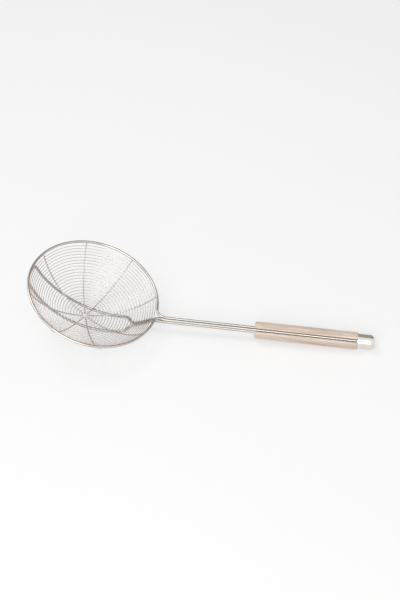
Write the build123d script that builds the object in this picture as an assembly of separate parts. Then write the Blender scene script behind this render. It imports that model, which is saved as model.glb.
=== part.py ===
from build123d import *
import os
from math import asin, cos, degrees, hypot, pi, radians, sin, sqrt, tan

# Spider skimmer: a shallow wire bowl on a long two-piece wooden grip with a steel end cap.
# Millimetres and degrees. The bowl frame has its origin in the middle of the rim, X towards the grip
# and Z out of the bowl's mouth. The finished tool is then laid down as it rests on a table.

# Bowl
rim_radius = 90.0
bowl_depth = 53.0
mesh_wire = 1.2
mesh_turns = 24
mesh_sides = 4
mesh_top_margin = 4.4
mesh_inner_radius = 2.6
rib_wire = 1.8
rib_count = 8
rib_sides = 8
rib_inner_radius = 3.6

# Thick wires
rod_wire = 3.6
rod_gap = 0.3
rim_bend_radius = 10.0
neck_bend_radius = 15.0
support_end_radius = 5.0
support_end_drop = 8.5

# Half width between the legs of the support wire, along the bowl
support_stations = [
    (-50.0, 17.8),
    (0.0, 16.9),
    (52.0, 14.0),
]
support_far_half_width = 16.0
pinch_end_x = 69.0

# Handle
handle_rise = 21.9
handle_drop = 7.7
grip_start = 140.4
grip_length = 137.4
grip_diameter = 23.0
grip_edge_round = 1.2
seam_gap = 5.0
seam_angle = 45.0
cap_length = 23.0
cap_diameter = 20.4
cap_wall = 0.8
cap_round = 7.0
tenon_length = 13.0
rod_end_margin = 1.0

# Points taken on each arc when a path is measured, and halvings of the tilt's range
gap_samples = 8
rest_samples = 32
tilt_halvings = 40
straight_limit = 1e-9

# Clearances
clearance = 0.3
fit_clearance = 0.15

# Values that follow from the ones above
rod_radius = rod_wire / 2
mesh_radius = mesh_wire / 2
rib_radius = rib_wire / 2
mesh_flat = mesh_radius * cos(pi / mesh_sides)
rib_flat = rib_radius * cos(pi / rib_sides)
sphere_radius = (rim_radius**2 + bowl_depth**2) / (2 * bowl_depth)
sphere_height = sphere_radius - bowl_depth
rib_sphere = sphere_radius + mesh_flat + clearance + rib_flat
support_sphere = rib_sphere + rib_flat + clearance + rod_radius
rod_offset = rod_radius + rod_gap / 2
grip_radius = grip_diameter / 2
grip_end = grip_start + grip_length
cap_end = grip_end + cap_length
cap_radius = cap_diameter / 2
cap_bore_radius = cap_radius - cap_wall
tenon_radius = cap_bore_radius - fit_clearance
tenon_end = grip_end + tenon_length
rod_end = tenon_end - rod_end_margin
channel_side = 2 * (rod_offset + rod_radius + clearance)
rise = radians(handle_rise)
mesh_outer_arc = sphere_radius * asin(rim_radius / sphere_radius) - mesh_top_margin
mesh_pitch = (mesh_outer_arc - mesh_inner_radius) / mesh_turns


def point_on_bowl(x, y, radius):
    """Point under x, y on the sphere of the given radius about the bowl's centre."""
    return Vector(x, y, sphere_height - sqrt(radius**2 - x**2 - y**2))


def point_on_handle(along, side, lift):
    """Point at a distance along the handle's axis, with its offsets sideways and upwards."""
    x = rim_radius + along * cos(rise) - lift * sin(rise)
    return Vector(x, side, along * sin(rise) + lift * cos(rise) - handle_drop)


def mirrored(point):
    return Vector(point.X, -point.Y, point.Z)


def biarc(start, start_way, end, end_way):
    """Two arcs that leave start and reach end in the given directions, and meet smoothly."""
    span = end - start
    both = start_way + end_way
    turn = 2 * (1 - start_way.dot(end_way))
    reach = span.dot(both)
    if turn < straight_limit:
        return [Line(start, end)]
    tangent = (sqrt(reach**2 + turn * span.dot(span)) - reach) / turn
    first = start + start_way * tangent
    second = end - end_way * tangent
    middle = (first + second) * 0.5
    way = (second - first).normalized()
    return [
        TangentArc(start, middle, tangent=start_way),
        TangentArc(middle, end, tangent=way),
    ]


def biarc_chain(points, ways):
    edges = []
    for i in range(len(points) - 1):
        edges += biarc(points[i], ways[i], points[i + 1], ways[i + 1])
    return edges


def round_rod(edges, diameter):
    """Round wire along a chain of edges."""
    path = Wire(edges)
    section = Plane(origin=path @ 0, z_dir=path % 0) * Circle(diameter / 2)
    return sweep(section, path=path)


def flat_sided_wire(edges, diameter, sides, up):
    """Drawn wire of a few flats, whose first flat faces up, along a chain of edges."""
    path = Wire(edges)
    frame = Plane(origin=path @ 0, x_dir=up, z_dir=path % 0)
    turn = 180 / sides
    section = frame * RegularPolygon(diameter / 2, sides, rotation=turn)
    return sweep(section, path=path)


def heading_on_bowl(point, ahead, aside):
    """Direction of travel in the bowl's surface above the plan direction ahead, aside."""
    climb = (point.X * ahead + point.Y * aside) / (sphere_height - point.Z)
    return Vector(ahead, aside, climb).normalized()


def rim_wire():
    """The rim's circle, whose two ends bend out side by side and then up into the grip."""
    joint = (handle_drop - rod_offset * cos(rise)) / sin(rise)
    bend = neck_bend_radius * tan(rise / 2)
    centre_y = rod_offset + rim_bend_radius
    centre_x = sqrt((rim_radius + rim_bend_radius) ** 2 - centre_y**2)
    share = rim_radius / (rim_radius + rim_bend_radius)
    back = Vector(-cos(rise), 0, -sin(rise))
    inward = Vector(-1, 0, 0)

    rear = point_on_handle(rod_end, rod_offset, rod_offset)
    bend_out = point_on_handle(joint + bend, rod_offset, rod_offset)
    corner = point_on_handle(joint, rod_offset, rod_offset)
    bend_in = corner + inward * bend
    leg_end = Vector(centre_x, rod_offset, 0)
    touch = Vector(centre_x * share, centre_y * share, 0)
    around = Vector(-touch.Y, touch.X, 0).normalized()
    far = Vector(-rim_radius, 0, 0)

    half = [
        Line(rear, bend_out),
        TangentArc(bend_out, bend_in, tangent=back),
        Line(bend_in, leg_end),
        TangentArc(leg_end, touch, tangent=inward),
        TangentArc(touch, far, tangent=around),
    ]
    other = [
        TangentArc(far, mirrored(touch), tangent=Vector(0, -1, 0)),
        TangentArc(mirrored(touch), mirrored(leg_end), tangent=mirrored(around) * -1),
        Line(mirrored(leg_end), mirrored(bend_in)),
        TangentArc(mirrored(bend_in), mirrored(bend_out), tangent=inward * -1),
        Line(mirrored(bend_out), mirrored(rear)),
    ]
    return round_rod(half + other, rod_wire)


def support_neck():
    """Points and directions of a leg from inside the grip to the wall of the bowl."""
    centre = Vector(0, 0, sphere_height)
    back = Vector(-cos(rise), 0, -sin(rise))
    start = point_on_handle(0, rod_offset, -rod_offset) - centre
    reach = start.dot(back)
    joint = reach + sqrt(reach**2 - start.dot(start) + support_sphere**2)
    corner = point_on_handle(joint, rod_offset, -rod_offset)
    wall = asin(hypot(corner.X, corner.Y) / support_sphere)
    bend = neck_bend_radius * tan((wall - rise) / 2)

    low = support_sphere * sin(wall - bend / support_sphere)
    bend_in = point_on_bowl(sqrt(low**2 - rod_offset**2), rod_offset, support_sphere)
    points = [
        point_on_handle(rod_end, rod_offset, -rod_offset),
        point_on_handle(joint + bend, rod_offset, -rod_offset),
        bend_in,
        point_on_bowl(pinch_end_x, rod_offset, support_sphere),
    ]
    ways = [back, back] + [heading_on_bowl(p, -1, 0) for p in points[2:]]
    return points, ways


def support_leg():
    """Points and directions of a leg under the bowl, from the pinch up the far wall."""
    across = support_end_circle()
    level = -support_end_drop - support_end_radius * across / support_sphere
    height = sphere_height - level
    far_x = -sqrt(support_sphere**2 - height**2 - support_far_half_width**2)
    table = support_stations[::-1] + [(far_x, support_far_half_width)]
    points = [point_on_bowl(x, y, support_sphere) for x, y in table]
    ways = []
    for i in range(len(table)):
        before = table[max(i - 1, 0)]
        after = table[min(i + 1, len(table) - 1)]
        slope = (after[1] - before[1]) / (after[0] - before[0])
        ways.append(heading_on_bowl(points[i], -1, -slope))
    return points, ways


def support_end_circle():
    """Radius of the level circle that the closed end follows below the rim."""
    return sqrt(support_sphere**2 - (sphere_height + support_end_drop) ** 2)


def support_end():
    """The corner and the middle of the closed end, which crosses under the far rim."""
    across = support_end_circle()
    side = support_far_half_width - support_end_radius
    corner = Vector(-sqrt(across**2 - side**2), side, -support_end_drop)
    middle = Vector(-across, 0, -support_end_drop)
    return [corner, middle], [Vector(-side, corner.X, 0), Vector(0, -1, 0)]


def support_path():
    """One hairpin: a leg, the closed end under the far rim, and the same leg mirrored."""
    points, ways = [], []
    for part in (support_neck(), support_leg(), support_end()):
        points += part[0]
        ways += [way.normalized() for way in part[1]]
    for i in range(len(points) - 2, -1, -1):
        points.append(mirrored(points[i]))
        ways.append(mirrored(ways[i]) * -1)
    return biarc_chain(points, ways)


def spiral_point(half_turns):
    """Point and direction of the mesh wire after a number of half turns from the outer end."""
    arc = mesh_outer_arc - mesh_pitch * half_turns / 2
    polar = arc / sphere_radius
    angle = pi * half_turns
    shrink = -mesh_pitch / (2 * pi * sphere_radius)
    out = Vector(cos(angle), sin(angle), 0)
    round_way = Vector(-sin(angle), cos(angle), 0)
    up = Vector(0, 0, 1)
    point = (out * sin(polar) - up * cos(polar)) * sphere_radius + up * sphere_height
    way = round_way * sin(polar) + (out * cos(polar) + up * sin(polar)) * shrink
    return point, way.normalized()


def least_gap(edges, per_edge, wire):
    """Least space between turns, from points along the wire more than half a turn apart."""
    points = [edge @ (i / per_edge) for edge in edges for i in range(per_edge)]
    half_turn = 2 * per_edge
    least = min(
        (points[i] - points[k]).length
        for i in range(len(points))
        for k in range(i + half_turn, min(i + 3 * half_turn, len(points)))
    )
    return least - wire


def mesh_spiral():
    """One unbroken fine wire, wound from below the rim to the middle of the bowl."""
    stops = [spiral_point(i) for i in range(2 * mesh_turns + 1)]
    edges = biarc_chain([stop[0] for stop in stops], [stop[1] for stop in stops])
    print("mesh turns", mesh_turns, "pitch", round(mesh_pitch, 3))
    print("mesh least gap to itself", round(least_gap(edges, gap_samples, mesh_wire), 3))
    up = stops[0][0] - Vector(0, 0, sphere_height)
    return flat_sided_wire(edges, mesh_wire, mesh_sides, up)


def rib(angle):
    """Radial wire under the mesh, from near the middle to just below the rim."""
    beside = rib_sphere - rib_flat - sphere_radius
    short = sqrt((rod_radius + clearance) ** 2 - beside**2)
    outer = asin(rim_radius / sphere_radius) - short / sphere_radius
    inner = rib_inner_radius / rib_sphere
    out = Vector(cos(radians(angle)), sin(radians(angle)), 0)
    up = Vector(0, 0, 1)
    centre = up * sphere_height
    start = centre + (out * sin(inner) - up * cos(inner)) * rib_sphere
    end = centre + (out * sin(outer) - up * cos(outer)) * rib_sphere
    way = out * cos(inner) + up * sin(inner)
    edges = [TangentArc(start, end, tangent=way)]
    return flat_sided_wire(edges, rib_wire, rib_sides, start - centre)


def on_handle(shape):
    """Places a shape made along X from the handle's origin into the bowl frame."""
    return Pos(rim_radius, 0, -handle_drop) * Rot(0, -handle_rise, 0) * shape


def grip_half(turn):
    """Half of the round grip: a shoulder, a tenon for the cap and a groove for the rods."""
    shoulder = grip_radius - grip_edge_round
    profile = Polyline(
        (grip_start, 0),
        (grip_start, shoulder),
    )
    profile += TangentArc((grip_start, shoulder), (grip_start + grip_edge_round, grip_radius), tangent=(0, 1))
    profile += Polyline(
        (grip_start + grip_edge_round, grip_radius),
        (grip_end - grip_edge_round, grip_radius),
    )
    profile += TangentArc((grip_end - grip_edge_round, grip_radius), (grip_end, shoulder), tangent=(1, 0))
    profile += Polyline(
        (grip_end, shoulder),
        (grip_end, tenon_radius),
        (tenon_end, tenon_radius),
        (tenon_end, 0),
        (grip_start, 0),
    )
    body = revolve(make_face(profile), axis=Axis.X)
    low = (Align.MIN, Align.CENTER, Align.MIN)
    middle = (Align.MIN, Align.CENTER, Align.CENTER)
    length = tenon_end - grip_start
    keep = Rot(turn, 0, 0) * Pos(grip_start, 0, seam_gap / 2) * Box(length, grip_diameter, grip_diameter, align=low)
    channel = Pos(grip_start, 0, 0) * Box(length, channel_side, channel_side, align=middle)
    return on_handle((body & keep) - channel)


def end_cap():
    """Drawn steel cup over the tenon, with a rounded end."""
    straight = cap_end - cap_round
    nose = cap_radius - cap_round
    floor = cap_end - cap_wall
    profile = Polyline((grip_end, cap_bore_radius), (grip_end, cap_radius), (straight, cap_radius))
    profile += TangentArc((straight, cap_radius), (cap_end, nose), tangent=(1, 0))
    profile += Polyline((cap_end, nose), (cap_end, 0), (floor, 0), (floor, nose))
    profile += TangentArc((floor, nose), (straight, cap_bore_radius), tangent=(0, 1))
    profile += Line((straight, cap_bore_radius), (grip_end, cap_bore_radius))
    return on_handle(revolve(make_face(profile), axis=Axis.X))


def rested_height(point, tilt):
    return point.Z * cos(tilt) - point.X * sin(tilt)


def rested_place(point, tilt):
    return point.X * cos(tilt) + point.Z * sin(tilt)


def resting_tilt(wire_points):
    """Tilt at which the support wire and the rear of the grip touch the table together."""
    heel = point_on_handle(grip_end - grip_edge_round, 0, grip_edge_round - grip_radius)
    low, high = 0.0, pi / 4
    for _ in range(tilt_halvings):
        tilt = (low + high) / 2
        bowl = min(rested_height(p, tilt) for p in wire_points) - rod_radius
        grip = rested_height(heel, tilt) - grip_edge_round
        if grip > bowl:
            low = tilt
        else:
            high = tilt
    return tilt


def lay_down(wire_points):
    """Turns the tool onto the table, with the middle of its box over the origin."""
    tilt = resting_tilt(wire_points)
    floor = min(rested_height(p, tilt) for p in wire_points) - rod_radius
    nose = point_on_handle(cap_end - cap_round, 0, cap_radius - cap_round)
    front = rested_place(nose, tilt) + cap_round
    back = min(rested_place(p, tilt) for p in wire_points) - rod_radius
    print("resting tilt", round(degrees(tilt), 3), "length", round(front - back, 2))
    return Pos(-(front + back) / 2, 0, -floor) * Rot(0, degrees(tilt), 0)


os.makedirs("parts", exist_ok=True)
support_edges = support_path()
wire_points = [
    edge @ (i / rest_samples) for edge in support_edges for i in range(rest_samples + 1)
]
laid = lay_down(wire_points)

pieces = {
    "rim_wire": rim_wire(),
    "support_wire": round_rod(support_edges, rod_wire),
    "mesh_spiral": mesh_spiral(),
    "grip_half_upper": grip_half(-seam_angle),
    "grip_half_lower": grip_half(180 - seam_angle),
    "end_cap": end_cap(),
}
for number in range(rib_count):
    pieces[f"rib_{number + 1}"] = rib(360 * (number + 1 / 2) / rib_count)

for name, piece in pieces.items():
    export_step(laid * piece, f"parts/{name}.step")
    print(name, round(piece.volume, 1))
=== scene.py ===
"""Spider skimmer: a wound wire bowl on two bent rods, with a two-piece wooden grip and a steel end cap."""

from math import asin, atan2, ceil, cos, hypot, pi, radians, sin, sqrt, tan, tau

import bmesh
import bpy
from mathutils import Matrix, Vector


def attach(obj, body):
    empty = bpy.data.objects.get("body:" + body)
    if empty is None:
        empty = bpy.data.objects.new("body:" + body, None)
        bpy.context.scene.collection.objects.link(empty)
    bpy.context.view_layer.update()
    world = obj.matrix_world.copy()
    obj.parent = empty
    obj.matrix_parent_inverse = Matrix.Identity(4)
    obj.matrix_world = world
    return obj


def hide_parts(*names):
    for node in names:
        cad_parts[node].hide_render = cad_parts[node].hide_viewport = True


bl_info = {
    "name": "Spider Skimmer",
    "version": (1, 0, 0),
    "blender": (4, 5, 0),
    "location": "View3D > Sidebar > Skimmer",
    "description": "Builds a wire skimmer with its wound bowl, ribs, bent rods, wooden grip and end cap",
    "category": "Add Mesh",
}

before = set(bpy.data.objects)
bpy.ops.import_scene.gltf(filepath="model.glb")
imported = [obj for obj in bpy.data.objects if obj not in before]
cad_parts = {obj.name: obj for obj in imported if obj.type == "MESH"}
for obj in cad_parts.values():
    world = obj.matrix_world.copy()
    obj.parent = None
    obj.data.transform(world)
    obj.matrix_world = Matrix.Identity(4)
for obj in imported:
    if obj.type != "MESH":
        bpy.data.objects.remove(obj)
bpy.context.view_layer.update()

MM = 0.001
UP = Vector((0.0, 0.0, 1.0))

# Camera of the photograph
CAMERA_PLACE = Vector((0.24917, -0.84621, 0.97815))
CAMERA_RIGHT = Vector((0.977257, 0.194247, -0.085072))
CAMERA_BACK = Vector((0.19513, -0.666639, 0.719386))
CAMERA_LENS = 57.244
CAMERA_SENSOR = 36.0

# Table, soft lamps, and the card that the steel reflects
TABLE_REACH = 3.0
TABLE_GLOW = 0.395
KEY_PLACE = (0.0, -1.62, 1.5)
KEY_SIZE = 1.8
TOP_PLACE = (-0.81, 0.44, 1.98)
TOP_SIZE = 1.1
TOP_SHARE = 0.36
CARD_FAR = 1.1
CARD_HALF_WIDTH = 1.8
CARD_HEIGHT = 3.0
CARD_COLOUR = (0.52, 0.45, 0.415, 1.0)
WHITE = (1.0, 1.0, 1.0, 1.0)

# Pose of the bowl's own frame, whose origin is the middle of the rim, on the table
REST_TILT = radians(23.54636)
REST_PLACE = Vector((-0.1461911, 0.0, 0.0624556))
REST = Matrix.Translation(REST_PLACE) @ Matrix.Rotation(REST_TILT, 4, "Y")
SEAM_TURNS = {"grip_half_upper": radians(-45.0), "grip_half_lower": radians(135.0)}

# Points and sides that the round shapes are made with
ARC_STEP = radians(2.5)
ROD_SIDES = 24
MESH_SIDES = 8
MESH_POINTS = 90
RIB_SIDES = 12
RIB_POINTS = 48
BEAD_SIDES = 8
BEAD_RINGS = 5
GRIP_BACK_STEPS = 40
GRIP_EDGE_STEPS = 6
GRIP_LONG_STEPS = 24
CAP_SIDES = 96
CAP_ROUND_STEPS = 16
CAP_WALL_STEPS = 6
CAP_INSIDE_STEPS = 8

# Limits below which two points are one and a bend is straight
SAME_PLACE = 1e-6
SMALL_TURN = 1e-4
STRAIGHT = 1e-9

# Angles past which an edge stays sharp
GRIP_SHARP = radians(35.0)
CAP_SHARP = radians(50.0)

# Roughness of the drawn wires, and their streaks to a metre of wire and across its radius
ROD_ROUGH = 0.23
MESH_ROUGH = 0.24
RIB_ROUGH = 0.25
STREAKS_ALONG = 90.0
STREAKS_ACROSS = 4.0

# Sockets of the Mix node that blend colours
MIX_SHARE, MIX_FIRST, MIX_SECOND, MIX_RESULT = 0, 6, 7, 2


def length(name, description, millimetres):
    """A size that the user may change, shown in the scene's units."""
    kind = {"min": 0.0, "precision": 5, "subtype": "DISTANCE", "unit": "LENGTH"}
    return bpy.props.FloatProperty(name=name, description=description, default=millimetres * MM, **kind)


def angle(name, description, degrees):
    kind = {"subtype": "ANGLE", "unit": "ROTATION"}
    return bpy.props.FloatProperty(name=name, description=description, default=radians(degrees), **kind)


def count(name, description, default, least):
    return bpy.props.IntProperty(name=name, description=description, default=default, min=least, max=60)


def colour(name, description, value):
    return bpy.props.FloatVectorProperty(
        name=name, description=description, default=value, min=0.0, max=1.0, size=3, subtype="COLOR"
    )


class BowlSizes(bpy.types.PropertyGroup):
    """Sizes of the wire bowl, all to the middles of the wires."""

    rim_radius: length("Rim Radius", "Radius of the rim", 90.0)
    depth: length("Depth", "Depth of the bowl below the rim", 53.0)
    mesh_wire: length("Mesh Wire", "Thickness of the wound wire", 0.92)
    mesh_turns: count("Turns", "Turns of the wound wire", 24, 3)
    mesh_top: length("Mesh Top", "Way along the bowl from the rim to the mesh", 4.4)
    mesh_middle: length("Mesh Middle", "Way along the bowl from its middle to the mesh", 2.6)
    rib_wire: length("Rib Wire", "Thickness of the radial wires", 1.75)
    rib_count: count("Ribs", "Radial wires under the mesh", 8, 3)
    rib_drop: length("Rib Drop", "Middle of a rib below the mesh", 1.56)
    rib_inner: length("Rib Inner End", "Way along the bowl from its middle to a rib", 3.6)
    rib_outer: length("Rib Outer End", "Way along the bowl from the rim to a rib", 2.1)
    rod_drop: length("Rod Drop", "Middle of the support wire below the mesh", 4.49)


class RodSizes(bpy.types.PropertyGroup):
    """Sizes of the two bent rods that carry the bowl and run on into the grip."""

    wire: length("Rod Wire", "Thickness of a rod", 3.6)
    offset: length("Rod Offset", "Middle of a rod from the axis, sideways and upwards", 1.95)
    rim_bend: length("Rim Bend", "Radius at which the rim turns into the handle", 10.0)
    neck_bend: length("Neck Bend", "Radius at which the rods turn up into the handle", 15.0)
    half_near: length("Half Width Near", "Half width between the legs by the handle", 14.0)
    half_middle: length("Half Width Middle", "Half width between the legs in the middle", 16.9)
    half_far: length("Half Width Far", "Half width between the legs on the far side", 17.8)
    half_end: length("Half Width End", "Half width between the legs at the closed end", 16.0)
    end_bend: length("End Bend", "Radius at the corners of the closed end", 5.0)
    end_drop: length("End Drop", "Closed end below the rim", 8.5)
    pinch: length("Pinch", "Way from the bowl's middle to where the legs part", 69.0)
    station_near: length("Near Station", "Way from the bowl's middle to the near half width", 52.0)
    station_far: length("Far Station", "Way from the bowl's middle to the far half width", 50.0)
    rise: angle("Rise", "Angle of the handle above the rim", 21.9)
    drop: length("Handle Drop", "Handle's axis below the near edge of the rim", 7.7)


class WeldSizes(bpy.types.PropertyGroup):
    """Sizes of the weld beads where wires cross or meet."""

    mesh_wide: length("Mesh Weld Width", "Width of a bead between rib and mesh", 1.5)
    mesh_thick: length("Mesh Weld Thickness", "Thickness of a bead between rib and mesh", 1.0)
    mesh_sink: length("Mesh Weld Sink", "Middle of a bead below the mesh", 0.55)
    support_wide: length("Support Weld Width", "Width of a bead between rib and support", 3.0)
    rim_wide: length("Rim Weld Width", "Width of a bead between rib and rim", 2.6)
    thick: length("Weld Thickness", "Thickness of a bead on a rod", 1.6)
    sink: length("Weld Gap", "Middle of a bead from its rod or from the rim's circle", 0.1)
    rim_drop: length("Rim Weld Drop", "Middle of a bead below the rim", 1.9)


class GripSizes(bpy.types.PropertyGroup):
    """Sizes of the wooden grip and the end cap, along the handle's axis from the rim."""

    start: length("Start", "Front end of the wood", 140.4)
    long: length("Length", "Length of the wood that shows", 137.4)
    radius: length("Radius", "Outer radius of the wood", 11.5)
    edge: length("Edge Round", "Rounding at the ends of the wood", 1.2)
    seam: length("Seam", "Width of the seam between the halves", 5.0)
    groove: length("Groove", "Half side of the square groove for the rods", 4.05)
    arris: length("Arris", "Rounding along the edges of the seam", 0.6)
    tenon: length("Tenon", "Length of the wood inside the cap", 13.0)
    tenon_radius: length("Tenon Radius", "Radius of the wood inside the cap", 9.25)
    rod_margin: length("Rod Margin", "Ends of the rods from the tenon's end", 1.0)
    cap_long: length("Cap Length", "Length of the cap", 23.0)
    cap_radius: length("Cap Radius", "Outer radius of the cap", 10.2)
    cap_round: length("Cap Round", "Rounding of the cap's end", 7.0)
    cap_wall: length("Cap Wall", "Thickness of the cap's wall", 0.8)
    cap_crown: length("Cap Crown", "Height of the slight dome on the cap's end", 0.12)


class Finishes(bpy.types.PropertyGroup):
    """Colours of the steel, the wood and the table, and the levels of the light."""

    rim_steel: colour("Rim Steel", "Steel of the rim wire", (0.64, 0.605, 0.575))
    # Painted shade: the support wire is the rim's own steel, painted darker for the shade under the bowl
    shaded_support_steel: colour("Support Steel", "Steel of the support wire", (0.47, 0.44, 0.415))
    # Painted shade: both rods painted darker along the open handle, a shaded copy of the same steel
    shaded_handle_steel: colour("Handle Steel", "Both rods in the open stretch of the handle", (0.445, 0.42, 0.40))
    # Painted light: both rods painted lighter between the grip's halves, against the shade deep in the seam
    lit_covered_steel: colour("Covered Steel", "Both rods between the halves of the grip", (0.60, 0.565, 0.535))
    mesh_steel: colour("Mesh Steel", "Steel of the mesh", (0.78, 0.715, 0.68))
    rib_steel: colour("Rib Steel", "Steel of the ribs", (0.63, 0.595, 0.57))
    weld: colour("Weld", "Weld beads, a little darkened by heat", (0.34, 0.31, 0.285))
    polished: colour("Polished Steel", "End cap", (0.80, 0.755, 0.715))
    wood_light: colour("Light Wood", "Wood between the pores", (0.93, 0.79, 0.69))
    wood_dark: colour("Dark Wood", "Wood in the late bands", (0.65, 0.50, 0.40))
    pore: colour("Pore", "Pores and fine streaks of the wood", (0.40, 0.26, 0.18))
    # Painted light: the wood along the seam is painted paler, against the shade inside the seam
    lit_sawn_wood: colour("Sawn Wood", "Unvarnished wood inside the seam", (0.90, 0.80, 0.70))
    floor: colour("Floor", "Table under the skimmer", (0.64, 0.64, 0.64))
    fill: bpy.props.FloatProperty(
        name="Fill Light", description="Level of the even light all round", default=0.5, min=0.0, max=2.0
    )
    key: bpy.props.FloatProperty(
        name="Key Light", description="Power of the main soft lamp", default=21.0, min=0.0, unit="POWER"
    )


class Value:
    """A socket that takes part in sums: each operator on it adds a Math node to its tree."""

    def __init__(self, tree, socket):
        self.tree = tree
        self.socket = socket

    def math(self, operation, *others, first=None):
        node = self.tree.nodes.new("ShaderNodeMath")
        node.operation = operation
        terms = [self if first is None else first, *others]
        for place, term in zip(node.inputs, terms):
            plug(self.tree, place, term)
        return Value(self.tree, node.outputs[0])

    def __add__(self, other):
        return self.math("ADD", other)

    def __sub__(self, other):
        return self.math("SUBTRACT", other)

    def __rsub__(self, other):
        return self.math("SUBTRACT", self, first=other)

    def __mul__(self, other):
        return self.math("MULTIPLY", other)

    def __truediv__(self, other):
        return self.math("DIVIDE", other)

    def __rtruediv__(self, other):
        return self.math("DIVIDE", self, first=other)

    __radd__ = __add__
    __rmul__ = __mul__

    def sine(self):
        return self.math("SINE")

    def cosine(self):
        return self.math("COSINE")

    def between(self, low, high):
        """0 below low, 1 above high and even in between."""
        spread = (self - low) / (high - low)
        return spread.math("MAXIMUM", 0.0).math("MINIMUM", 1.0)

    def beside(self, output):
        """Another output of the node that this one comes from."""
        return Value(self.tree, self.socket.node.outputs[output])


def plug(tree, place, value):
    """Links a socket or sets its own value."""
    if isinstance(value, Value):
        tree.links.new(value.socket, place)
    elif isinstance(value, bpy.types.NodeSocket):
        tree.links.new(value, place)
    else:
        place.default_value = value


class Builder:
    """Adds nodes to one tree."""

    def __init__(self, tree):
        self.tree = tree

    def node(self, kind, settings=None, sockets=None, output=0):
        """One node of a type, with its settings made first and then its sockets linked or set."""
        made = self.tree.nodes.new(kind)
        for name, value in (settings or {}).items():
            setattr(made, name, value)
        for name, value in (sockets or {}).items():
            plug(self.tree, made.inputs[name], value)
        return Value(self.tree, made.outputs[output])

    def vector(self, x, y, z):
        return self.node("ShaderNodeCombineXYZ", sockets={"X": x, "Y": y, "Z": z})

    def blend(self, share, first, second):
        """One colour into another by a share."""
        first, second = (end if isinstance(end, Value) else (*end, 1.0) for end in (first, second))
        sockets = {MIX_SHARE: share, MIX_FIRST: first, MIX_SECOND: second}
        return self.node("ShaderNodeMix", {"data_type": "RGBA"}, sockets, output=MIX_RESULT)


class Tree(Builder):
    """Adds nodes to a new geometry tree, which has an input for each of its sizes."""

    def __init__(self, name, sizes):
        super().__init__(bpy.data.node_groups.new(name, "GeometryNodeTree"))
        self.sizes = sizes
        sockets = self.tree.interface
        sockets.new_socket("Geometry", in_out="INPUT", socket_type="NodeSocketGeometry")
        sockets.new_socket("Geometry", in_out="OUTPUT", socket_type="NodeSocketGeometry")
        for label, size in sizes.items():
            kind = "NodeSocketInt" if isinstance(size, int) else "NodeSocketFloat"
            sockets.new_socket(label, in_out="INPUT", socket_type=kind)
        self.entry = self.tree.nodes.new("NodeGroupInput")
        self.leave = self.tree.nodes.new("NodeGroupOutput")

    def __getitem__(self, name):
        """The value of an input."""
        return Value(self.tree, self.entry.outputs[name])

    def piece(self, name, shape, material, start=None):
        """Ends the tree and runs it in the bowl's own frame. Gives a plain mesh object on the table."""
        smooth = self.node("GeometryNodeSetShadeSmooth", sockets={"Geometry": shape})
        real = self.node("GeometryNodeRealizeInstances", sockets={"Geometry": smooth})
        finish = self.node("GeometryNodeSetMaterial", sockets={"Geometry": real, "Material": material})
        plug(self.tree, self.leave.inputs["Geometry"], finish)
        obj = show(name + "_start", start or bpy.data.meshes.new(name + "_start"))
        modifier = obj.modifiers.new(self.tree.name, "NODES")
        modifier.node_group = self.tree
        for item in self.tree.interface.items_tree:
            if item.in_out == "INPUT" and item.name in self.sizes:
                modifier[item.identifier] = self.sizes[item.name]
        depsgraph = bpy.context.evaluated_depsgraph_get()
        mesh = bpy.data.meshes.new_from_object(obj.evaluated_get(depsgraph), depsgraph=depsgraph)
        obj.modifiers.clear()
        bpy.data.objects.remove(obj)
        mesh.name = name
        mesh.transform(REST)
        return show(name, mesh)


def show(name, data):
    obj = bpy.data.objects.new(name, data)
    bpy.context.scene.collection.objects.link(obj)
    return obj


def settle(obj, slot, *nodes):
    """Rides a finished piece on the object and lets it stand for its nodes."""
    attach(obj, "root")
    if nodes:
        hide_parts(*nodes)


def bowl_radius(bowl):
    """Radius of the sphere on which the mesh lies."""
    return (bowl.rim_radius**2 + bowl.depth**2) / (2 * bowl.depth)


def bowl_height(bowl):
    """Height of that sphere's middle above the rim."""
    return bowl_radius(bowl) - bowl.depth


def bowl_point(bowl, x, y, drop):
    """Point under x, y on the sphere that lies a drop below the mesh."""
    reach = bowl_radius(bowl) + drop
    return Vector((x, y, bowl_height(bowl) - sqrt(reach**2 - x**2 - y**2)))


def bowl_way(bowl, point, ahead, aside):
    """Direction in the bowl's surface above the plan direction ahead, aside."""
    climb = (point.x * ahead + point.y * aside) / (bowl_height(bowl) - point.z)
    return Vector((ahead, aside, climb)).normalized()


def mesh_outer(bowl):
    """Way along the bowl from its middle to the outermost turn of the mesh."""
    radius = bowl_radius(bowl)
    return radius * asin(bowl.rim_radius / radius) - bowl.mesh_top


def rod_point(bowl, rods, along, level):
    """Point on the upper rod of one side (level 1) or the lower one (-1), by its way along the handle."""
    lift = level * rods.offset
    x = bowl.rim_radius + along * cos(rods.rise) - lift * sin(rods.rise)
    return Vector((x, rods.offset, along * sin(rods.rise) + lift * cos(rods.rise) - rods.drop))


def handle_matrix(bowl, rods):
    """Places a piece made along X from the handle's origin on the resting skimmer."""
    origin = Vector((bowl.rim_radius, 0.0, -rods.drop))
    return REST @ Matrix.Translation(origin) @ Matrix.Rotation(-rods.rise, 4, "Y")


def with_mirror(half):
    """A line that ends on the plane of symmetry, run on back along its mirror image."""
    return half + [Vector((point.x, -point.y, point.z)) for point in reversed(half[:-1])]


def even_steps(total, steps):
    """Even steps from nothing up to a total."""
    return [total * i / steps for i in range(steps + 1)]


def arc(start, way, end):
    """Points of the arc that leaves start in a direction and reaches end."""
    chord = end - start
    turn = way.angle(chord)
    if turn < SMALL_TURN:
        return [start, end]
    inward = (chord - way * chord.dot(way)).normalized()
    radius = chord.length / (2 * sin(turn))
    angles = even_steps(2 * turn, max(2, ceil(2 * turn / ARC_STEP)))
    return [start + way * (radius * sin(a)) + inward * (radius * (1 - cos(a))) for a in angles]


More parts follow.
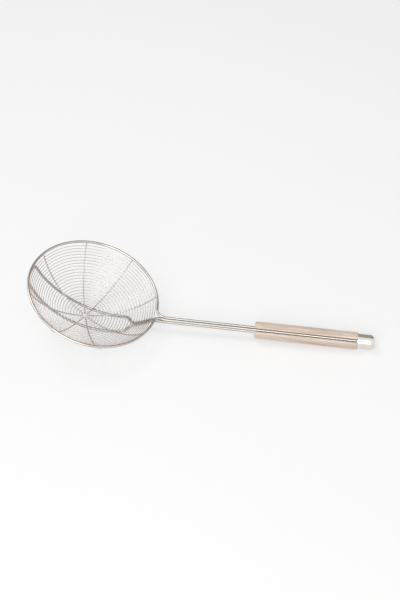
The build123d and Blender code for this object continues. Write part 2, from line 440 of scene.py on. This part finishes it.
def biarc(start, start_way, end, end_way):
    """Points of two arcs that meet smoothly between two places and directions."""
    span = end - start
    reach = span.dot(start_way + end_way)
    turn = 2 * (1 - start_way.dot(end_way))
    if turn < STRAIGHT:
        return [start, end]
    tangent = (sqrt(reach**2 + turn * span.dot(span)) - reach) / turn
    first = start + start_way * tangent
    second = end - end_way * tangent
    middle = (first + second) / 2
    return arc(start, start_way, middle) + arc(middle, (second - first).normalized(), end)


def joined(runs):
    """One list of points out of runs that share their ends."""
    line = []
    for run in runs:
        for point in run:
            if not line or (point - line[-1]).length > SAME_PLACE:
                line.append(point)
    return line


def rod_end(grip):
    """Way along the handle at which the rods end inside the cap."""
    return grip.start + grip.long + grip.tenon - grip.rod_margin


def rim_line(bowl, rods, grip):
    """Middle line of the rim's circle and of its two ends, which turn out and up into the grip."""
    joint = (rods.drop - rods.offset * cos(rods.rise)) / sin(rods.rise)
    bend = rods.neck_bend * tan(rods.rise / 2)
    centre_y = rods.offset + rods.rim_bend
    centre_x = sqrt((bowl.rim_radius + rods.rim_bend) ** 2 - centre_y**2)
    share = bowl.rim_radius / (bowl.rim_radius + rods.rim_bend)
    touch = Vector((centre_x * share, centre_y * share, 0.0))
    around = Vector((-touch.y, touch.x, 0.0)).normalized()
    leg = Vector((centre_x, rods.offset, 0.0))
    bend_in = rod_point(bowl, rods, joint, 1) - Vector((bend, 0.0, 0.0))
    bend_out = rod_point(bowl, rods, joint + bend, 1)
    rear = rod_point(bowl, rods, rod_end(grip), 1)
    back = Vector((-cos(rods.rise), 0.0, -sin(rods.rise)))
    inward = Vector((-1.0, 0.0, 0.0))
    far = Vector((-bowl.rim_radius, 0.0, 0.0))
    runs = (
        [rear, bend_out],
        arc(bend_out, back, bend_in),
        [bend_in, leg],
        arc(leg, inward, touch),
        arc(touch, around, far),
    )
    return with_mirror(joined(runs))


def support_neck(bowl, rods, grip):
    """Points and directions of a support leg from inside the grip to where the legs part."""
    drop = bowl.rod_drop
    reach = bowl_radius(bowl) + drop
    back = Vector((-cos(rods.rise), 0.0, -sin(rods.rise)))
    start = rod_point(bowl, rods, 0.0, -1) - UP * bowl_height(bowl)
    ahead = start.dot(back)
    joint = ahead + sqrt(ahead**2 - start.dot(start) + reach**2)
    corner = rod_point(bowl, rods, joint, -1)
    wall = asin(hypot(corner.x, corner.y) / reach)
    bend = rods.neck_bend * tan((wall - rods.rise) / 2)
    low = reach * sin(wall - bend / reach)
    points = [
        rod_point(bowl, rods, rod_end(grip), -1),
        rod_point(bowl, rods, joint + bend, -1),
        bowl_point(bowl, sqrt(low**2 - rods.offset**2), rods.offset, drop),
        bowl_point(bowl, rods.pinch, rods.offset, drop),
    ]
    return points, [back, back] + [bowl_way(bowl, point, -1.0, 0.0) for point in points[2:]]


def support_line(bowl, rods, grip):
    """Middle line of the support wire, a hairpin under the bowl with its closed end by the far rim."""
    points, ways = support_neck(bowl, rods, grip)
    reach = bowl_radius(bowl) + bowl.rod_drop
    height = bowl_height(bowl)
    across = sqrt(reach**2 - (height + rods.end_drop) ** 2)
    level = -rods.end_drop - rods.end_bend * across / reach
    far_x = -sqrt(reach**2 - (height - level) ** 2 - rods.half_end**2)
    table = [
        (rods.station_near, rods.half_near),
        (0.0, rods.half_middle),
        (-rods.station_far, rods.half_far),
        (far_x, rods.half_end),
    ]
    for i, (x, y) in enumerate(table):
        before, after = table[max(i - 1, 0)], table[min(i + 1, len(table) - 1)]
        slope = (after[1] - before[1]) / (after[0] - before[0])
        points.append(bowl_point(bowl, x, y, bowl.rod_drop))
        ways.append(bowl_way(bowl, points[-1], -1.0, -slope))

    side = rods.half_end - rods.end_bend
    end_x = -sqrt(across**2 - side**2)
    points += [Vector((end_x, side, -rods.end_drop)), Vector((-across, 0.0, -rods.end_drop))]
    ways += [Vector((-side, end_x, 0.0)).normalized(), Vector((0.0, -1.0, 0.0))]
    runs = [biarc(points[i], ways[i], points[i + 1], ways[i + 1]) for i in range(len(points) - 1)]
    return with_mirror(joined(runs))


def line_data(points):
    """A curve through points."""
    data = bpy.data.curves.new("line", "CURVE")
    data.dimensions = "3D"
    spline = data.splines.new("POLY")
    spline.points.add(len(points) - 1)
    for place, point in zip(spline.points, points):
        place.co = (*point, 1.0)
    return data


def stored(tree, shape, name, kind, value):
    """A shape whose points keep a value under a name."""
    return tree.node(
        "GeometryNodeStoreNamedAttribute",
        {"data_type": kind, "domain": "POINT"},
        {"Geometry": shape, "Name": name, "Value": value},
    )


def wire_around(tree, line, sides):
    """A round wire along a curve, which keeps its way along and its place in the section."""
    along = tree.node("GeometryNodeSplineParameter", output="Length")
    line = stored(tree, line, "along", "FLOAT", along)
    circle = {"Resolution": sides, "Radius": tree["Diameter"] / 2.0}
    ring = tree.node("GeometryNodeCurvePrimitiveCircle", sockets=circle)
    ring = stored(tree, ring, "section", "FLOAT_VECTOR", tree.node("GeometryNodeInputPosition"))
    curves = {"Curve": line, "Profile Curve": ring, "Fill Caps": True}
    return tree.node("GeometryNodeCurveToMesh", sockets=curves)


def bent_rod(name, points, diameter, material):
    """A thick wire bent along its middle line."""
    tree = Tree("Bent Rod", {"Diameter": diameter, "Sides": ROD_SIDES})
    return tree.piece(name, wire_around(tree, tree["Geometry"], tree["Sides"]), material, line_data(points))


def counted_line(tree, points):
    """A straight curve of a number of points, and the share of the way at each."""
    line = tree.node("GeometryNodeCurvePrimitiveLine")
    line = tree.node("GeometryNodeResampleCurve", sockets={"Curve": line, "Count": points})
    return line, tree.node("GeometryNodeSplineParameter", output="Factor")


def place_on_bowl(tree, polar, turn, radius, height):
    """Vector of a point on the bowl's sphere by its angle from the middle and its turn."""
    flat = polar.sine() * radius
    return tree.vector(flat * turn.cosine(), flat * turn.sine(), height - polar.cosine() * radius)


def line_on_bowl(tree, line, polar, turn):
    """A curve laid on the bowl's sphere."""
    place = place_on_bowl(tree, polar, turn, tree["Radius"], tree["Height"])
    return tree.node("GeometryNodeSetPosition", sockets={"Geometry": line, "Position": place})


def wound_mesh(bowl, material):
    """The fine wire, wound in one run from below the rim to the middle of the bowl."""
    sizes = {
        "Radius": bowl_radius(bowl),
        "Height": bowl_height(bowl),
        "Outer": mesh_outer(bowl),
        "Inner": bowl.mesh_middle,
        "Diameter": bowl.mesh_wire,
        "Turns": bowl.mesh_turns,
        "Points": bowl.mesh_turns * MESH_POINTS + 1,
    }
    tree = Tree("Wound Mesh", sizes)
    line, share = counted_line(tree, tree["Points"])
    way = tree["Outer"] - (tree["Outer"] - tree["Inner"]) * share
    line = line_on_bowl(tree, line, way / tree["Radius"], share * tree["Turns"] * tau)
    return tree.piece("wound_mesh", wire_around(tree, line, MESH_SIDES), material)


def radial_ribs(bowl, material):
    """One rib on the bowl's sphere, set round its middle at even turns."""
    radius = bowl_radius(bowl)
    sizes = {
        "Radius": radius + bowl.rib_drop,
        "Height": bowl_height(bowl),
        "Outer": asin(bowl.rim_radius / radius) - bowl.rib_outer / radius,
        "Inner": bowl.rib_inner / radius,
        "Diameter": bowl.rib_wire,
        "Ribs": bowl.rib_count,
    }
    tree = Tree("Radial Ribs", sizes)
    line, share = counted_line(tree, RIB_POINTS)
    polar = tree["Outer"] - (tree["Outer"] - tree["Inner"]) * share
    rib = wire_around(tree, line_on_bowl(tree, line, polar, polar * 0.0), RIB_SIDES)
    number = tree.node("GeometryNodeInputIndex")
    turn = tree.vector(0.0, 0.0, (number + 0.5) * tau / tree["Ribs"])
    places = tree.node("GeometryNodePoints", sockets={"Count": tree["Ribs"]})
    copies = {"Points": places, "Instance": rib, "Rotation": turn}
    ribs = tree.node("GeometryNodeInstanceOnPoints", sockets=copies)
    return tree.piece("radial_ribs", ribs, material)


def beads(tree, places):
    """Small flattened beads of uneven size set on points, each facing the way that its point keeps."""
    sphere = {"Segments": BEAD_SIDES, "Rings": BEAD_RINGS, "Radius": 0.5}
    ball = tree.node("GeometryNodeMeshUVSphere", sockets=sphere)
    uneven = {"Min": 0.85, "Max": 1.2, "Seed": 7}
    spread = tree.node("FunctionNodeRandomValue", {"data_type": "FLOAT"}, uneven, output="Value")
    size = tree.vector(spread * tree["Width"], spread * tree["Width"], spread * tree["Thickness"])
    vector = {"data_type": "FLOAT_VECTOR"}
    outward = tree.node("GeometryNodeInputNamedAttribute", vector, {"Name": "outward"})
    turn = tree.node("FunctionNodeAlignRotationToVector", {"axis": "Z"}, {"Vector": outward})
    copies = {"Points": places, "Instance": ball, "Rotation": turn, "Scale": size}
    return tree.node("GeometryNodeInstanceOnPoints", sockets=copies)


def crossing_welds(bowl, welds, material):
    """A small weld wherever a rib passes under a turn of the mesh."""
    outer = mesh_outer(bowl)
    sizes = {
        "Radius": bowl_radius(bowl),
        "Height": bowl_height(bowl),
        "Outer": outer,
        "Pitch": (outer - bowl.mesh_middle) / bowl.mesh_turns,
        "Turns": bowl.mesh_turns,
        "Ribs": bowl.rib_count,
        "Sink": welds.mesh_sink,
        "Width": welds.mesh_wide,
        "Thickness": welds.mesh_thick,
    }
    tree = Tree("Crossing Welds", sizes)
    number = tree.node("GeometryNodeInputIndex")
    ring = (number / tree["Ribs"]).math("FLOOR")
    share = (number - ring * tree["Ribs"] + 0.5) / tree["Ribs"]
    polar = (tree["Outer"] - tree["Pitch"] * (ring + share)) / tree["Radius"]
    turn = share * tau
    place = place_on_bowl(tree, polar, turn, tree["Radius"] + tree["Sink"], tree["Height"])
    crossings = {"Count": tree["Turns"] * tree["Ribs"], "Position": place}
    places = tree.node("GeometryNodePoints", sockets=crossings)
    outward = place_on_bowl(tree, polar, turn, 1.0, 0.0)
    places = stored(tree, places, "outward", "FLOAT_VECTOR", outward)
    return tree.piece("crossing_welds", beads(tree, places), material)


def listed_welds(name, spots, wide, thick, material):
    """Welds at listed places, each with the direction that it faces."""
    tree = Tree("Listed Welds", {"Width": wide, "Thickness": thick})
    mesh = bpy.data.meshes.new(name + "_places")
    mesh.from_pydata([tuple(place) for place, outward in spots], [], [])
    facing = mesh.attributes.new("outward", "FLOAT_VECTOR", "POINT")
    facing.data.foreach_set("vector", [part for place, outward in spots for part in outward])
    return tree.piece(name, beads(tree, tree["Geometry"]), material, mesh)


def rib_ways(bowl):
    """Level direction of each rib from the middle of the bowl."""
    angles = [tau * (number + 0.5) / bowl.rib_count for number in range(bowl.rib_count)]
    return [Vector((cos(angle), sin(angle), 0.0)) for angle in angles]


def support_spots(bowl, rods, grip, welds):
    """Places where the ribs pass over the legs of the support wire, with the directions outwards."""
    line = support_line(bowl, rods, grip)
    spots = []
    for along in rib_ways(bowl):
        for here, there in zip(line, line[1:]):
            first = along.x * here.y - along.y * here.x
            second = along.x * there.y - along.y * there.x
            if first * second >= 0:
                continue
            point = here.lerp(there, first / (first - second))
            if point.dot(along) > 0 and point.z < -rods.end_drop:
                outward = (point - UP * bowl_height(bowl)).normalized()
                spots.append((point - outward * (rods.wire / 2 + welds.sink), outward))
    return spots


def rim_spots(bowl, welds):
    """Places where the ribs meet the rim from below, with the directions outwards."""
    spots = []
    for along in rib_ways(bowl):
        place = along * (bowl.rim_radius - welds.sink) - UP * welds.rim_drop
        spots.append((place, (along / 2 - UP).normalized()))
    return spots


def round_corner(centre, radius, first, last, steps):
    """Points of an arc in a section, from one angle to another."""
    angles = [first + angle for angle in even_steps(last - first, steps)]
    return [(centre[0] + radius * cos(a), centre[1] + radius * sin(a)) for a in angles]


def half_section(grip, radius):
    """Outline of one half across the grip: the round back, the soft arrises, the seam and the groove."""
    low = grip.seam / 2
    deep = grip.groove * sqrt(2)
    soft = min(grip.arris, (radius - low) / 4)
    centre = sqrt((radius - soft) ** 2 - (low + soft) ** 2)
    touch = atan2(low + soft, centre)
    outline = round_corner((centre, low + soft), soft, -pi / 2, touch, GRIP_EDGE_STEPS)
    outline += round_corner((0.0, 0.0), radius, touch, pi - touch, GRIP_BACK_STEPS)[1:]
    outline += round_corner((-centre, low + soft), soft, pi - touch, 1.5 * pi, GRIP_EDGE_STEPS)[1:]
    outline += [(low - deep, low), (0.0, deep), (deep - low, low)]
    return outline


def half_stations(grip):
    """Ways along the grip with the outer radius at each, from the front end to the tenon's end."""
    end = grip.start + grip.long
    edge = grip.edge
    angles = even_steps(pi / 2, GRIP_EDGE_STEPS)
    rounding = [(edge * (1 - sin(a)), grip.radius - edge * (1 - cos(a))) for a in angles]
    stations = [(grip.start + inset, radius) for inset, radius in reversed(rounding)]
    straight = even_steps(grip.long - 2 * edge, GRIP_LONG_STEPS)[1:-1]
    stations += [(grip.start + edge + way, grip.radius) for way in straight]
    stations += [(end - inset, radius) for inset, radius in rounding]
    stations += [(end, grip.tenon_radius), (end + grip.tenon, grip.tenon_radius)]
    return stations


def grip_half(name, turn, grip, handle, material):
    """One wooden half of the grip, skinned over sections along the handle."""
    mesh = bmesh.new()
    seam = mesh.verts.layers.float.new("seam")
    rings = []
    for along, radius in half_stations(grip):
        ring = []
        for u, v in half_section(grip, radius):
            side = u * cos(turn) - v * sin(turn)
            lift = u * sin(turn) + v * cos(turn)
            vertex = mesh.verts.new((along, side, lift))
            vertex[seam] = v - grip.seam / 2
            ring.append(vertex)
        rings.append(ring)
    for here, there in zip(rings, rings[1:]):
        for i in range(len(here)):
            mesh.faces.new((here[i], here[i - 1], there[i - 1], there[i]))
    mesh.faces.new(rings[0])
    mesh.faces.new(rings[-1])
    bmesh.ops.triangulate(mesh, faces=[face for face in mesh.faces if len(face.verts) > 4])
    return finished_mesh(mesh, name, handle, material, GRIP_SHARP)


def finished_mesh(mesh, name, matrix, material, sharp):
    """Turns a bmesh into an object with outward faces, smooth but for its sharp edges."""
    bmesh.ops.recalc_face_normals(mesh, faces=mesh.faces)
    data = bpy.data.meshes.new(name)
    mesh.to_mesh(data)
    mesh.free()
    data.transform(matrix)
    data.shade_smooth()
    data.set_sharp_from_angle(angle=sharp)
    data.materials.append(material)
    return show(name, data)


def cap_profile(grip):
    """Section of the drawn cap from the middle of its end, round its lip and back inside."""
    mouth = grip.start + grip.long
    end = mouth + grip.cap_long
    straight = end - grip.cap_round
    nose = grip.cap_radius - grip.cap_round
    lip = grip.cap_wall / 2
    wall = straight - mouth - 2 * lip
    outer = grip.cap_round - grip.cap_crown
    inner = grip.cap_round - grip.cap_wall
    profile = [(end, 0.0), (end - grip.cap_crown / 5, nose / 2)]
    for angle in even_steps(pi / 2, CAP_ROUND_STEPS):
        profile.append((straight + outer * cos(angle), nose + grip.cap_round * sin(angle)))
    profile += [(straight - way, grip.cap_radius) for way in even_steps(wall, CAP_WALL_STEPS)[1:]]
    for angle in even_steps(pi, CAP_INSIDE_STEPS)[1:]:
        profile.append((mouth + lip * (1 - sin(angle)), grip.cap_radius - lip + lip * cos(angle)))
    profile.append((straight, grip.cap_radius - grip.cap_wall))
    for angle in even_steps(pi / 2, CAP_INSIDE_STEPS)[1:]:
        profile.append((straight + inner * sin(angle), nose + inner * cos(angle)))
    profile.append((end - grip.cap_wall, 0.0))
    return profile


def end_cap(grip, handle, material):
    """The drawn steel cap, turned about the handle's axis."""
    mesh = bmesh.new()
    turns = even_steps(tau, CAP_SIDES)[:-1]
    rings = []
    for along, radius in cap_profile(grip):
        if radius == 0.0:
            rings.append([mesh.verts.new((along, 0.0, 0.0))] * CAP_SIDES)
            continue
        rings.append([mesh.verts.new((along, radius * cos(t), radius * sin(t))) for t in turns])
    for here, there in zip(rings, rings[1:]):
        for i in range(CAP_SIDES):
            mesh.faces.new(dict.fromkeys((here[i], here[i - 1], there[i - 1], there[i])))
    return finished_mesh(mesh, "cap", handle, material, CAP_SHARP)


class Paint(Builder):
    """Adds nodes to a new material, round its Principled shader."""

    def __init__(self, name, metallic=0.0):
        self.material = bpy.data.materials.new(name)
        self.material.use_nodes = True
        super().__init__(self.material.node_tree)
        self.shader = next(node for node in self.tree.nodes if node.type == "BSDF_PRINCIPLED")
        self.shader.inputs["Metallic"].default_value = metallic

    def place(self):
        """The object's own coordinates."""
        return self.node("ShaderNodeTexCoord", output="Object")

    def kept(self, name, output):
        """What the points of a piece keep under a name."""
        return self.node("ShaderNodeAttribute", {"attribute_name": name}, output=output)

    def handle_place(self, handle):
        """Way along the handle, sideways and upwards, from the object's own coordinates."""
        offset = {"operation": "SUBTRACT"}
        near = self.node("ShaderNodeVectorMath", offset, {0: self.place(), 1: handle.translation})
        ways = []
        for axis in handle.to_3x3().col[0], handle.to_3x3().col[2]:
            measure = {"operation": "DOT_PRODUCT"}
            ways.append(self.node("ShaderNodeVectorMath", measure, {0: near, 1: axis}, output="Value"))
        side = self.node("ShaderNodeSeparateXYZ", sockets={"Vector": near}, output="Y")
        return ways[0], side, ways[1]

    def noise(self, place, **sockets):
        return self.node("ShaderNodeTexNoise", sockets={"Vector": place, "Scale": 1.0, **sockets})

    def handle_noise(self, place, long, fine, **sockets):
        """Noise with its own scale along the handle and another across it, in cycles per metre."""
        along, side, lift = place
        return self.noise(self.vector(along * long, side * fine, lift * fine), **sockets)

    def dress(self, tone, rough, height, strength, distance):
        """Gives the shader its colour, its roughness and its fine relief. Gives the material back."""
        relief = {"Strength": strength, "Distance": distance, "Height": height}
        bump = self.node("ShaderNodeBump", sockets=relief)
        for name, value in (("Base Color", tone), ("Roughness", rough), ("Normal", bump)):
            plug(self.tree, self.shader.inputs[name], value)
        return self.material


def scaled(shade, factor, tint=(1.0, 1.0, 1.0)):
    """A colour made darker or lighter, and tinted, but kept within white."""
    return tuple(min(1.0, part * factor * hue) for part, hue in zip(shade, tint))


def wire_steel(name, shade, rough, radius, handle=None, lit_and_shaded_stretches=()):
    """Drawn steel with streaks and dull patches, and with other shades over stretches of the handle that
    are painted shade and painted light.
    """
    paint = Paint(name, metallic=1.0)
    along = paint.kept("along", "Fac")
    across = paint.node("ShaderNodeSeparateXYZ", sockets={"Vector": paint.kept("section", "Vector")})
    ways = [way / radius * STREAKS_ACROSS for way in (across, across.beside("Y"))]
    streak = paint.noise(paint.vector(along * STREAKS_ALONG, *ways), Detail=3.0, Roughness=0.6)
    patch = paint.noise(paint.place(), Scale=60.0, Detail=2.0)
    wear = (streak * 0.6 + patch * 0.4).between(0.35, 0.65)
    tone = paint.blend(wear, scaled(shade, 0.82), scaled(shade, 1.08))
    for first, last, other in lit_and_shaded_stretches:
        tone = paint.blend(paint.handle_place(handle)[0].between(first, last), tone, other)
    gloss = streak * 0.16 + patch * 0.1 + (rough - 0.13)
    return paint.dress(tone, gloss, streak, strength=0.25, distance=0.04 * MM)


def weld_steel(shade):
    """Weld metal, rough and a little browned by heat."""
    paint = Paint("weld_metal", metallic=1.0)
    grain = paint.noise(paint.place(), Scale=1400.0, Detail=2.0)
    heat = paint.noise(paint.place(), Scale=120.0, Detail=1.0)
    brown = scaled(shade, 1.0, tint=(0.95, 0.85, 0.72))
    tone = paint.blend(heat.between(0.4, 0.62), shade, brown)
    return paint.dress(tone, grain * 0.25 + 0.3, grain, strength=0.4, distance=0.1 * MM)


def grip_wood(looks, grip, handle):
    """Fine pale wood with soft brown streaks, short pores, a seam painted paler as light against its shade,
    and a darker front end.
    """
    paint = Paint("grip_wood")
    along, side, lift = straight = paint.handle_place(handle)
    bend = (paint.handle_noise(straight, long=14.0, fine=40.0, Detail=2.0) - 0.5) * (4.0 * MM)
    bent = along, side + bend, lift + bend
    band = paint.handle_noise(bent, long=16.0, fine=300.0, Detail=3.0, Roughness=0.55)
    thread = paint.handle_noise(bent, long=26.0, fine=1300.0, Detail=3.0, Roughness=0.55)
    pore = paint.handle_noise(bent, long=150.0, fine=3200.0, Detail=1.0, Roughness=0.55).between(0.62, 0.7)
    rub = paint.handle_noise(straight, long=60.0, fine=90.0)
    # Painted light: the faces of the seam are painted paler, against the shade inside the slot
    lit_seam = 1.0 - (paint.kept("seam", "Fac") - rub * (0.4 * MM)).between(0.2 * MM, 0.6 * MM)
    front = 1.0 - (along - grip.start).between(0.0, 1.6 * MM)
    tone = paint.blend(band.between(0.44, 0.66), looks.wood_light, looks.wood_dark)
    for share, shade in (
        (thread.between(0.5, 0.62) * 0.55, looks.wood_dark),
        (pore * 0.4, looks.pore),
        (lit_seam, looks.lit_sawn_wood),
        (front * 0.25, looks.pore),
    ):
        tone = paint.blend(share, tone, shade)
    height = thread * 0.5 + (1.0 - pore) * 0.5
    rough = thread * 0.2 + rub * 0.08 + 0.36
    return paint.dress(tone, rough, height, strength=0.3, distance=0.12 * MM)


def cap_steel(shade, handle):
    """Polished steel with faint turning rings and rubbed patches."""
    paint = Paint("polished_steel", metallic=1.0)
    place = paint.handle_place(handle)
    rings = paint.handle_noise(place, long=3000.0, fine=60.0, Detail=2.0)
    rub = paint.handle_noise(place, long=180.0, fine=180.0, Detail=3.0)
    tone = paint.blend(rub.between(0.4, 0.65), shade, scaled(shade, 0.93))
    rough = rub * 0.1 + rings * 0.05 + 0.13
    return paint.dress(tone, rough, rings, strength=0.06, distance=0.02 * MM)


def seen_rays(builder):
    """1 for rays that show the background as white: from the camera, in gloss and through glass."""
    camera = builder.node("ShaderNodeLightPath", output="Is Camera Ray")
    gloss, through = camera.beside("Is Glossy Ray"), camera.beside("Is Transmission Ray")
    return camera.math("MAXIMUM", gloss).math("MAXIMUM", through)


def sheet(name, corners, material):
    """A flat sheet with four corners."""
    mesh = bpy.data.meshes.new(name)
    mesh.from_pydata(corners, [], [(0, 1, 2, 3)])
    mesh.materials.append(material)
    return show(name, mesh)


def pale_table(shade):
    """A pale matt table that shows white to the camera and keeps the shadow."""
    paint = Paint("pale_table")
    mottle = paint.noise(paint.place(), Scale=9.0, Detail=2.0)
    plug(paint.tree, paint.shader.inputs["Base Color"], paint.blend(mottle, shade, scaled(shade, 0.985)))
    paint.shader.inputs["Roughness"].default_value = 0.9
    paint.shader.inputs["Specular IOR Level"].default_value = 0.1
    light = {"Color": WHITE, "Strength": seen_rays(paint) * TABLE_GLOW}
    glow = paint.node("ShaderNodeEmission", sockets=light)
    both = paint.node("ShaderNodeAddShader", sockets={0: paint.shader.outputs[0], 1: glow})
    leave = next(node for node in paint.tree.nodes if node.type == "OUTPUT_MATERIAL")
    plug(paint.tree, leave.inputs["Surface"], both)
    sides = ((-1, -1), (1, -1), (1, 1), (-1, 1))
    return sheet("table", [(x * TABLE_REACH, y * TABLE_REACH, 0.0) for x, y in sides], paint.material)


def back_card():
    """A brown card behind the table, which shows only in what the steel reflects."""
    paint = Paint("card")
    paint.shader.inputs["Base Color"].default_value = CARD_COLOUR
    paint.shader.inputs["Roughness"].default_value = 1.0
    sides = ((-1, 0), (1, 0), (1, 1), (-1, 1))
    corners = [(side * CARD_HALF_WIDTH, CARD_FAR, top * CARD_HEIGHT) for side, top in sides]
    card = sheet("back_card", corners, paint.material)
    card.visible_camera = False
    card.visible_diffuse = False
    card.visible_shadow = False
    return card


def soft_lamp(name, place, size, power):
    """A square soft lamp that faces the middle of the table."""
    data = bpy.data.lights.new(name, "AREA")
    data.shape = "SQUARE"
    data.size = size
    data.energy = power
    lamp = show(name, data)
    lamp.location = place
    lamp.rotation_euler = (-Vector(place)).to_track_quat("-Z", "Y").to_euler()


def even_light(scene, fill):
    """A world that is white where it is seen and lights at a plain level."""
    world = bpy.data.worlds.new("Studio")
    world.use_nodes = True
    scene.world = world
    tree = world.node_tree
    back = next(node for node in tree.nodes if node.type == "BACKGROUND")
    back.inputs["Color"].default_value = WHITE
    plug(tree, back.inputs["Strength"], seen_rays(Builder(tree)) * (1.0 - fill) + fill)


def photo_camera(scene):
    """The camera at the place from which the photograph was taken."""
    data = bpy.data.cameras.new("view")
    data.sensor_width = CAMERA_SENSOR
    data.lens = CAMERA_LENS
    camera = show("view", data)
    up = CAMERA_BACK.cross(CAMERA_RIGHT)
    turn = Matrix((CAMERA_RIGHT, up, CAMERA_BACK)).transposed()
    camera.matrix_world = Matrix.Translation(CAMERA_PLACE) @ turn.to_4x4()
    scene.camera = camera


class SKIMMER_OT_rods(bpy.types.Operator):
    """Bend the rim wire and the support wire, which run on side by side into the grip"""

    bl_idname = "skimmer.rods"
    bl_label = "Bent Rods"

    def execute(self, context):
        bowl, rods, grip, looks = settings(context, "bowl", "rods", "grip", "looks")
        handle = handle_matrix(bowl, rods)
        # Painted shade darkens both rods along the open handle, and painted light lightens them between the
        # grip's halves
        lit_and_shaded_stretches = (
            (rods.rim_bend, 2.0 * rods.rim_bend, looks.shaded_handle_steel),
            (grip.start - 0.1 * MM, grip.start, looks.lit_covered_steel),
        )
        wires = (
            ("rim_wire", rim_line(bowl, rods, grip), looks.rim_steel),
            ("support_wire", support_line(bowl, rods, grip), looks.shaded_support_steel),
        )
        for name, points, shade in wires:
            steel = wire_steel(name + "_steel", shade, ROD_ROUGH, rods.wire / 2, handle, lit_and_shaded_stretches)
            settle(bent_rod(name + "_rod", points, rods.wire, steel), "steel_rod", name)
        return {"FINISHED"}


class SKIMMER_OT_mesh(bpy.types.Operator):
    """Wind the fine wire of the bowl in one run"""

    bl_idname = "skimmer.mesh"
    bl_label = "Wound Mesh"

    def execute(self, context):
        bowl, looks = settings(context, "bowl", "looks")
        steel = wire_steel("mesh_steel", looks.mesh_steel, MESH_ROUGH, bowl.mesh_wire / 2)
        settle(wound_mesh(bowl, steel), "steel_mesh", "mesh_spiral")
        return {"FINISHED"}


class SKIMMER_OT_ribs(bpy.types.Operator):
    """Set the radial ribs under the mesh"""

    bl_idname = "skimmer.ribs"
    bl_label = "Radial Ribs"

    def execute(self, context):
        bowl, looks = settings(context, "bowl", "looks")
        steel = wire_steel("rib_steel", looks.rib_steel, RIB_ROUGH, bowl.rib_wire / 2)
        nodes = [f"rib_{number + 1}" for number in range(bowl.rib_count)]
        settle(radial_ribs(bowl, steel), "steel_mesh", *nodes)
        return {"FINISHED"}


class SKIMMER_OT_welds(bpy.types.Operator):
    """Weld the mesh to the ribs, and the ribs to the rim and the support wire"""

    bl_idname = "skimmer.welds"
    bl_label = "Welds"

    def execute(self, context):
        bowl, rods, grip, welds, looks = settings(context, "bowl", "rods", "grip", "welds", "looks")
        metal = weld_steel(looks.weld)
        settle(crossing_welds(bowl, welds, metal), "steel_mesh")
        places = (
            ("support_welds", support_spots(bowl, rods, grip, welds), welds.support_wide),
            ("rim_welds", rim_spots(bowl, welds), welds.rim_wide),
        )
        for name, spots, wide in places:
            settle(listed_welds(name, spots, wide, welds.thick, metal), "steel_mesh")
        return {"FINISHED"}


class SKIMMER_OT_grip(bpy.types.Operator):
    """Shape the two wooden halves of the grip"""

    bl_idname = "skimmer.grip"
    bl_label = "Wooden Grip"

    def execute(self, context):
        bowl, rods, grip, looks = settings(context, "bowl", "rods", "grip", "looks")
        handle = handle_matrix(bowl, rods)
        wood = grip_wood(looks, grip, handle)
        for node, turn in SEAM_TURNS.items():
            settle(grip_half(node + "_wood", turn, grip, handle, wood), "grip_wood", node)
        return {"FINISHED"}


class SKIMMER_OT_cap(bpy.types.Operator):
    """Turn the drawn steel cap on the end of the grip"""

    bl_idname = "skimmer.cap"
    bl_label = "End Cap"

    def execute(self, context):
        bowl, rods, grip, looks = settings(context, "bowl", "rods", "grip", "looks")
        handle = handle_matrix(bowl, rods)
        settle(end_cap(grip, handle, cap_steel(looks.polished, handle)), "polished_steel", "end_cap")
        return {"FINISHED"}


class SKIMMER_OT_stage(bpy.types.Operator):
    """Set the pale table, the soft light and the camera"""

    bl_idname = "skimmer.stage"
    bl_label = "Stage"

    def execute(self, context):
        (looks,) = settings(context, "looks")
        pale_table(looks.floor)
        even_light(context.scene, looks.fill)
        soft_lamp("key_light", KEY_PLACE, KEY_SIZE, looks.key)
        soft_lamp("top_light", TOP_PLACE, TOP_SIZE, looks.key * TOP_SHARE)
        back_card()
        photo_camera(context.scene)
        context.scene.view_settings.view_transform = "Standard"
        return {"FINISHED"}


STEPS = (
    SKIMMER_OT_rods,
    SKIMMER_OT_mesh,
    SKIMMER_OT_ribs,
    SKIMMER_OT_welds,
    SKIMMER_OT_grip,
    SKIMMER_OT_cap,
    SKIMMER_OT_stage,
)


class SKIMMER_PT_steps(bpy.types.Panel):
    """Steps that build the skimmer, in order"""

    bl_idname = "SKIMMER_PT_steps"
    bl_label = "Spider Skimmer"
    bl_space_type = "VIEW_3D"
    bl_region_type = "UI"
    bl_category = "Skimmer"

    def draw(self, context):
        for step in STEPS:
            self.layout.operator(step.bl_idname)


GROUPS = {"bowl": BowlSizes, "rods": RodSizes, "welds": WeldSizes, "grip": GripSizes, "looks": Finishes}


def settings(context, *names):
    """The scene's own groups of sizes and finishes."""
    return [getattr(context.scene, "skimmer_" + name) for name in names]


def register():
    for group in (*GROUPS.values(), *STEPS, SKIMMER_PT_steps):
        bpy.utils.register_class(group)
    for name, group in GROUPS.items():
        setattr(bpy.types.Scene, "skimmer_" + name, bpy.props.PointerProperty(type=group))


def unregister():
    for name in GROUPS:
        delattr(bpy.types.Scene, "skimmer_" + name)
    for group in (SKIMMER_PT_steps, *reversed(STEPS), *GROUPS.values()):
        bpy.utils.unregister_class(group)


def main():
    register()
    for step in STEPS:
        group, name = step.bl_idname.split(".")
        getattr(getattr(bpy.ops, group), name)()


if __name__ == "__main__":
    main()
